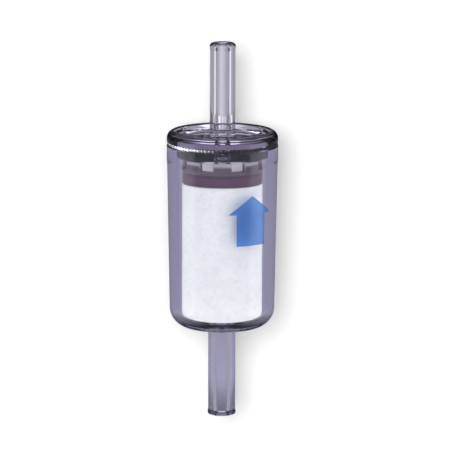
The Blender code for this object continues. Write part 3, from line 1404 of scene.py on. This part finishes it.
@dataclass
class Surround:
    """What the clear nylon and the gloss see round them, by direction, and the soft fill on matt faces.

    A ray that came straight through the nylon sees the open studio. One that was also turned back inside
    it sees a pale band below a dark horizon, a bright wall high up behind with a window, and above the card
    a glint ahead and behind. A reflection sees a dim room with pale ground and soft boxes at its sides.
    Directions are parts of a unit vector, but through and glint_angle are in degrees.
    """

    fill: float = 2.3
    fill_tint: Colour = (0.955, 1.0, 0.885)
    clear_tint: Colour = (0.965, 0.96, 1.08)
    through: Stops = (
        (-45.0, 0.43), (-30.0, 0.57), (-25.0, 0.62), (-16.0, 0.77), (-10.0, 0.79), (0.0, 0.71), (9.0, 0.66),
        (16.0, 0.59), (25.0, 0.46), (45.0, 0.39),
    )
    through_low: Stops = ((-0.85, 0.4), (-0.61, 0.95), (-0.57, 0.5), (-0.48, 0.5), (-0.43, 1.0))
    inside_middle: Stops = ((-0.46, 0.02), (-0.33, 0.34), (-0.20, 0.48), (-0.02, 0.48), (0.09, 0.03))
    inside_wide: Stops = (
        (-0.95, 0.08), (-0.80, 0.15), (-0.45, 0.32), (-0.32, 0.44), (-0.05, 0.42), (0.08, 0.06), (0.25, 0.03),
    )
    inside_side: Stops = (
        (-0.80, 0.30), (-0.45, 0.50), (-0.32, 0.58), (-0.20, 0.56), (-0.10, 0.42), (-0.02, 0.18),
        (0.06, 0.03),
    )
    inside_wall: Stops = (
        (-0.75, 0.3), (-0.60, 0.4), (-0.34, 0.7), (-0.27, 2.2), (-0.05, 2.2), (0.06, 1.3), (0.16, 1.9),
        (0.36, 1.9), (0.46, 1.1), (0.55, 0.4), (0.75, 0.2),
    )
    wide_from: Point = (0.20, 0.36)
    side_from: Point = (0.62, 0.80)
    wall_behind: Point = (0.2, 0.4)
    wall_height: Window = (0.26, 0.35, 0.76, 0.86)
    window: float = 0.8
    window_at: float = -0.50
    window_half: Point = (0.06, 0.10)
    window_height: Window = (0.17, 0.21, 0.30, 0.36)
    front: float = 0.8
    front_from: Point = (-0.35, 0.05)
    glint: float = 0.50
    glint_angle: Point = (42.0, 52.0)
    glint_height: Window = (-0.26, -0.24, 0.06, 0.12)
    room: float = 0.16
    top_room: float = 0.35
    top_from: Point = (0.35, 0.6)
    ground: float = 0.20
    ground_behind: Point = (0.30, 0.70)
    ground_fade: Point = (-0.42, -0.28)
    ground_low: float = 0.1
    horizon: float = 0.03
    horizon_from: Point = (-0.155, -0.09)
    box: float = 0.9
    box_side: Point = (0.80, 0.90)
    box_front: Point = (0.10, 0.25)
    box_height: Window = (-0.50, -0.40, 0.0, 0.10)

    def build(self) -> None:
        """Builds the world: white for the camera, the surround for glass and gloss, and the fill."""
        world = bpy.data.worlds.new("studio")
        world.use_nodes = True
        bpy.context.scene.world = world
        sky = Sky(world.node_tree)
        path = sky.path
        turned = sky.more(path["Glossy Depth"], ONCE)
        passed = sky.more(path["Transmission Depth"], ONCE)
        above = sky.less(path["Transparent Depth"], TWICE)
        inside = sky.plus(self.inside_level(sky), sky.times(above, self.glint_level(sky)))
        clear = sky.pick(turned, self.straight_level(sky), inside)
        level = sky.pick(passed, self.reflected_level(sky), clear)
        bent = sky.math("MAXIMUM", path["Is Glossy Ray"], path["Is Transmission Ray"])
        matt = sky.math("MAXIMUM", sky.more(path["Diffuse Depth"], ONCE), sky.math("SUBTRACT", 1.0, bent))
        camera = path["Is Camera Ray"]
        colour = sky.blend(passed, WHITE, self.clear_tint)
        colour = sky.blend(matt, colour, self.fill_tint)
        sky.set(world.node_tree.nodes["Background"], {
            "Color": sky.blend(camera, colour, WHITE),
            "Strength": sky.pick(camera, sky.pick(matt, level, self.fill), 1.0),
        })

    def straight_level(self, sky: Sky) -> Socket:
        """What a ray sees that went straight through: bright ahead on each of four sides, softer between."""
        ring = sky.profile(sky.math("WRAP", sky.bearing(sky.x, sky.y), 45.0, -45.0), self.through)
        return sky.times(ring, sky.profile(sky.z, self.through_low))

    def inside_level(self, sky: Sky) -> Socket:
        """What a ray sees that was also turned back inside the nylon.

        Args:
            sky: The world's sheet.

        Returns:
            The level's socket.
        """
        wide = sky.ramp(sky.across, *self.wide_from)
        band = sky.pick(wide, sky.profile(sky.z, self.inside_middle), sky.profile(sky.z, self.inside_wide))
        side = sky.ramp(sky.across, *self.side_from)
        band = sky.pick(side, band, sky.profile(sky.z, self.inside_side))
        wall = sky.times(sky.profile(sky.x, self.inside_wall), sky.window(sky.z, self.wall_height))
        aside = sky.math("ABSOLUTE", sky.math("SUBTRACT", sky.x, self.window_at))
        window = sky.ramp(aside, *self.window_half, self.window, 0.0)
        window = sky.times(window, sky.window(sky.z, self.window_height))
        wall = sky.times(sky.math("MAXIMUM", wall, window), sky.ramp(sky.y, *self.wall_behind))
        return sky.plus(sky.times(band, sky.ramp(sky.y, *self.front_from, self.front, 1.0)), wall)

    def glint_level(self, sky: Sky) -> Socket:
        """The bright lines at the sides of the outlet's bore."""
        level = sky.ramp(sky.math("ABSOLUTE", sky.bearing(sky.x, sky.y)), *self.glint_angle, self.glint, 0.0)
        return sky.times(level, sky.window(sky.z, self.glint_height))

    def reflected_level(self, sky: Sky) -> Socket:
        """What a reflection sees.

        Args:
            sky: The world's sheet.

        Returns:
            The level's socket.
        """
        ground = sky.ramp(sky.z, *self.horizon_from, self.ground, self.horizon)
        ground = sky.times(ground, sky.ramp(sky.z, *self.ground_fade, self.ground_low, 1.0))
        level = sky.pick(sky.ramp(sky.y, *self.ground_behind), self.room, ground)
        level = sky.pick(sky.ramp(sky.z, *self.top_from), level, self.top_room)
        box = sky.times(
            sky.ramp(sky.across, *self.box_side, 0.0, self.box),
            sky.window(sky.z, self.box_height),
            sky.ramp(sky.y, *self.box_front, 1.0, 0.0),
        )
        return sky.plus(level, box)


class StageSheet(MaterialSheet):
    """The node tree of a stage piece's material, which glows or is painted only where it is seen."""

    def __init__(self, name: str) -> None:
        """Makes the material and takes its shader out.

        Args:
            name: The material's name.
        """
        super().__init__(name)
        self.tree.nodes.remove(self.shader)
        self.path = self.add("ShaderNodeLightPath").outputs

    def close(self, seen: Socket, look: Socket) -> Material:
        """Ends the material, clear from behind and to rays that don't see it.

        Args:
            seen: Share of the look that a ray sees.
            look: The look's shader.

        Returns:
            The material.
        """
        behind = self.out("ShaderNodeNewGeometry", output="Backfacing")
        share = self.times(seen, self.math("SUBTRACT", 1.0, behind))
        mixed = {0: share, 1: self.out("ShaderNodeBsdfTransparent"), 2: look}
        self.set(self.output, {"Surface": self.out("ShaderNodeMixShader", mixed)})
        return self.material


@dataclass
class PaintedShadowCard:
    """A glowing grey card close behind the filter, painted with the filter's own shadow, which only rays
    through the clear nylon see.

    Its painted shadow is darkest at its foot, its top edge is graded across with painted light and shadow,
    and it has a painted dark corner of shade on each side. Rays that were turned back inside the nylon see
    only its middle height and its corners.
    """

    distance: float = 0.0143
    half_width: float = 0.060
    low: float = -0.0040
    high: float = 0.0735
    turned_low: float = 0.0210
    turned_high: float = 0.0640
    # Painted shadow levels by height, darkest at the foot.
    stops: tuple[tuple[float, Colour], ...] = (
        (-0.0040, (0.20, 0.20, 0.255)),
        (-0.0006, (0.235, 0.235, 0.30)),
        (0.0015, (0.305, 0.305, 0.39)),
        (0.0035, (0.41, 0.41, 0.52)),
        (0.0060, (0.48, 0.475, 0.62)),
        (0.0130, (0.46, 0.44, 0.58)),
        (0.0230, (0.38, 0.365, 0.48)),
        (0.0640, (0.38, 0.36, 0.48)),
        (0.0672, (0.44, 0.42, 0.53)),
        (0.0680, (0.40, 0.38, 0.48)),
    )
    # Painted light and shadow across the top edge.
    top: Stops = (
        (-0.0240, 0.32), (-0.0175, 0.24), (-0.0135, 0.45), (-0.0105, 1.20), (-0.0070, 1.35), (-0.0040, 0.95),
        (-0.0024, 0.25), (-0.0019, 0.30), (-0.0017, 1.10), (0.0020, 0.90), (0.0025, 0.35), (0.0045, 0.80),
        (0.0090, 0.75), (0.0126, 0.25), (0.0175, 0.14), (0.0240, 0.28),
    )
    top_from: Point = (0.0688, 0.0693)
    top_tint: Colour = (1.02, 0.98, 1.10)
    corner_from: Point = (0.0240, 0.0250)
    corner_low: float = 0.0667
    corner_height: Window = (0.0664, 0.0669, 0.0685, 0.0688)
    # Colour of the painted dark corners of shade.
    painted_corner_shade: Colour = (0.13, 0.13, 0.155)

    def build(self) -> None:
        """Builds the card."""
        bm = bmesh.new()
        wide = self.half_width
        corners = ((wide, self.high), (-wide, self.high), (-wide, self.low), (wide, self.low))
        bm.faces.new([bm.verts.new((x, self.distance, z)) for x, z in corners])
        card = dress("painted_shadow_card", bm, self.material())
        card.visible_camera = False
        card.visible_diffuse = False
        card.visible_glossy = False
        card.visible_shadow = False

    def grade(self, sheet: Sheet, x: Value, z: Value) -> Socket:
        """Paints the card's shadow by height, and grades its top edge across.

        Args:
            sheet: The material's sheet.
            x: Place across, from the middle to either side.
            z: Height.

        Returns:
            The colour's socket.
        """
        first, last = self.stops[0][0], self.stops[-1][0]
        stops = [((height - first) / (last - first), colour) for height, colour in self.stops]
        share = sheet.math("DIVIDE", sheet.math("SUBTRACT", z, first), last - first)
        top = sheet.scaled(self.top_tint, sheet.profile(x, self.top))
        colour = sheet.blend(sheet.ramp(z, *self.top_from), sheet.shades(share, stops), top)
        outer = sheet.ramp(sheet.math("ABSOLUTE", x), *self.corner_from)
        # Painted shade at the top edge's outer corners.
        corner = sheet.times(outer, sheet.window(z, self.corner_height))
        return sheet.blend(corner, colour, self.painted_corner_shade)

    def material(self) -> Material:
        """Builds the card's glow of painted shadow, which matt faces don't see, nor turned rays near its
        ends.

        Returns:
            The material.
        """
        sheet = StageSheet("painted_shadow_card")
        x, _, z = sheet.axes()
        middle = sheet.less(sheet.math("ABSOLUTE", x), self.corner_from[0])
        middle = sheet.math("MAXIMUM", middle, sheet.less(z, self.corner_low))
        high = sheet.times(sheet.more(z, self.turned_high), middle)
        ends = sheet.math("MAXIMUM", sheet.less(z, self.turned_low), high)
        hidden = sheet.times(ends, sheet.more(sheet.path["Glossy Depth"], ONCE))
        seen = sheet.math("SUBTRACT", sheet.less(sheet.path["Diffuse Depth"], ONCE), hidden)
        glow = sheet.out("ShaderNodeEmission", {"Color": self.grade(sheet, x, z)})
        return sheet.close(sheet.math("MAXIMUM", seen, 0.0), glow)


@dataclass
class Backdrop:
    """A white sweep behind and below the filter, which keeps its shadow and only the camera sees."""

    distance: float = 0.018
    half_width: float = 0.5
    height: float = 0.6
    floor: float = -0.06
    bend: float = 0.03
    steps: int = 16
    glow: float = 0.14
    paint: Colour = (0.209, 0.200, 0.226)

    def build(self) -> Piece:
        """Builds the sweep.

        Returns:
            The sweep.
        """
        centre = (self.distance - self.bend, self.floor + self.bend)
        angles = [math.radians(-90.0 * step / self.steps) for step in range(self.steps + 1)]
        rows = [
            (self.distance, self.height),
            *((centre[0] + self.bend * math.cos(a), centre[1] + self.bend * math.sin(a)) for a in angles),
            (-self.half_width, self.floor),
        ]
        bm = bmesh.new()
        left, right = [
            [bm.verts.new((x, y, z)) for y, z in rows] for x in (-self.half_width, self.half_width)
        ]
        for low in range(len(rows) - 1):
            bm.faces.new((left[low], left[low + 1], right[low + 1], right[low]))
        sweep = dress("sweep", bm, self.material())
        sweep.data.shade_smooth()
        return sweep

    def material(self) -> Material:
        """Builds its white paint with a glow.

        Returns:
            The material.
        """
        sheet = StageSheet("sweep_white")
        glow = sheet.out("ShaderNodeEmission", {"Strength": self.glow})
        paint = sheet.out("ShaderNodeBsdfDiffuse", {"Color": (*self.paint, 1.0)})
        return sheet.close(sheet.path["Is Camera Ray"], sheet.out("ShaderNodeAddShader", {0: glow, 1: paint}))


@dataclass
class Studio:
    """The camera, the lamps and what stands round the filter."""

    lens: float = 480.0
    distance: float = 1.5
    elevation: float = 10.5
    roll: float = 0.19
    target: Place = (0.0007, 0.0, 0.0482)
    sun_side: float = -7.0
    sun_height: float = 13.0
    sun_energy: float = 8.8
    sun_tint: Colour = (0.955, 1.0, 0.885)
    sun_angle: float = 29.0
    seam_side: float = -88.0
    seam_height: float = 14.0
    seam_distance: float = 0.6
    seam_power: float = 55.0
    seam_size: Point = (0.45, 1.3)
    surround: Surround = field(default_factory=Surround)
    card: PaintedShadowCard = field(default_factory=PaintedShadowCard)
    backdrop: Backdrop = field(default_factory=Backdrop)

    def build(self, seam: Piece) -> None:
        """Sets up the camera, the lamps, the world and the stage.

        Args:
            seam: The weld seam, which has a lamp of its own.
        """
        self.place_camera()
        self.place_sun(self.backdrop.build())
        self.place_seam_lamp(seam)
        self.surround.build()
        self.card.build()
        scene = bpy.context.scene
        scene.view_settings.view_transform = "Standard"
        cycles = scene.cycles
        cycles.max_bounces = 28
        cycles.transmission_bounces = 24
        cycles.glossy_bounces = 12
        cycles.diffuse_bounces = 4
        cycles.transparent_max_bounces = 16
        cycles.use_denoising = True

    @staticmethod
    def direction(side: float, height: float) -> Vector:
        """Unit vector from the filter, by two angles in degrees: round the axis and up."""
        a, e = math.radians(side), math.radians(height)
        return Vector((math.sin(a) * math.cos(e), -math.cos(a) * math.cos(e), math.sin(e)))

    def place_camera(self) -> None:
        """Places the camera at the photograph's angle."""
        data = bpy.data.cameras.new("camera")
        data.lens = self.lens
        data.sensor_width = 36.0
        data.clip_start = 0.01
        data.clip_end = 20.0
        camera = link("camera", data)
        back = self.direction(0.0, self.elevation)
        look = (-back).to_track_quat("-Z", "Y").to_matrix().to_4x4()
        place = Matrix.Translation(Vector(self.target) + back * self.distance)
        camera.matrix_world = place @ look @ Matrix.Rotation(math.radians(self.roll), 4, "Z")
        bpy.context.scene.camera = camera

    @staticmethod
    def hang(name: str, kind: str, way: Vector, target: Piece) -> Piece:
        """Hangs a lamp that lights one object alone.

        Args:
            name: The lamp's name.
            kind: Its type.
            way: Unit vector from the filter to it.
            target: The object that it lights.

        Returns:
            The lamp.
        """
        lamp = link(name, bpy.data.lights.new(name, kind))
        lamp.rotation_mode = "QUATERNION"
        lamp.rotation_quaternion = way.to_track_quat("Z", "Y")
        group = bpy.data.collections.new(f"lit_by_{name}")
        group.objects.link(target)
        lamp.light_linking.receiver_collection = group
        return lamp

    def place_sun(self, sweep: Piece) -> None:
        """Places the soft sun that throws the filter's shadow on the sweep.

        Args:
            sweep: The sweep.
        """
        sun = self.hang("soft_sun", "SUN", self.direction(self.sun_side, self.sun_height), sweep).data
        sun.energy = self.sun_energy
        sun.color = self.sun_tint
        sun.angle = math.radians(self.sun_angle)

    def place_seam_lamp(self, seam: Piece) -> None:
        """Places the lamp at the left that makes the weld's beads glint.

        Args:
            seam: The weld seam.
        """
        way = self.direction(self.seam_side, self.seam_height)
        lamp = self.hang("seam_lamp", "AREA", way, seam)
        lamp.location = Vector(self.target) + way * self.seam_distance
        lamp.data.shape = "RECTANGLE"
        lamp.data.size, lamp.data.size_y = self.seam_size
        lamp.data.energy = self.seam_power
        lamp.visible_camera = False
        lamp.visible_transmission = False


def main() -> None:
    """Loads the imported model, builds each piece over it and sets up the studio."""
    logging.basicConfig(level=logging.INFO, format="%(message)s")
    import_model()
    stack = Stack.read()
    effects = SharedEffects()
    housing = Housing(stack)
    housing.build(effects)
    seam = WeldSeam(stack).build(effects)
    FilterTube(stack).build(effects)
    Retainer(stack).build(effects)
    FlowArrow(housing).build(effects)
    Studio().build(seam)


if __name__ == "__main__":
    main()
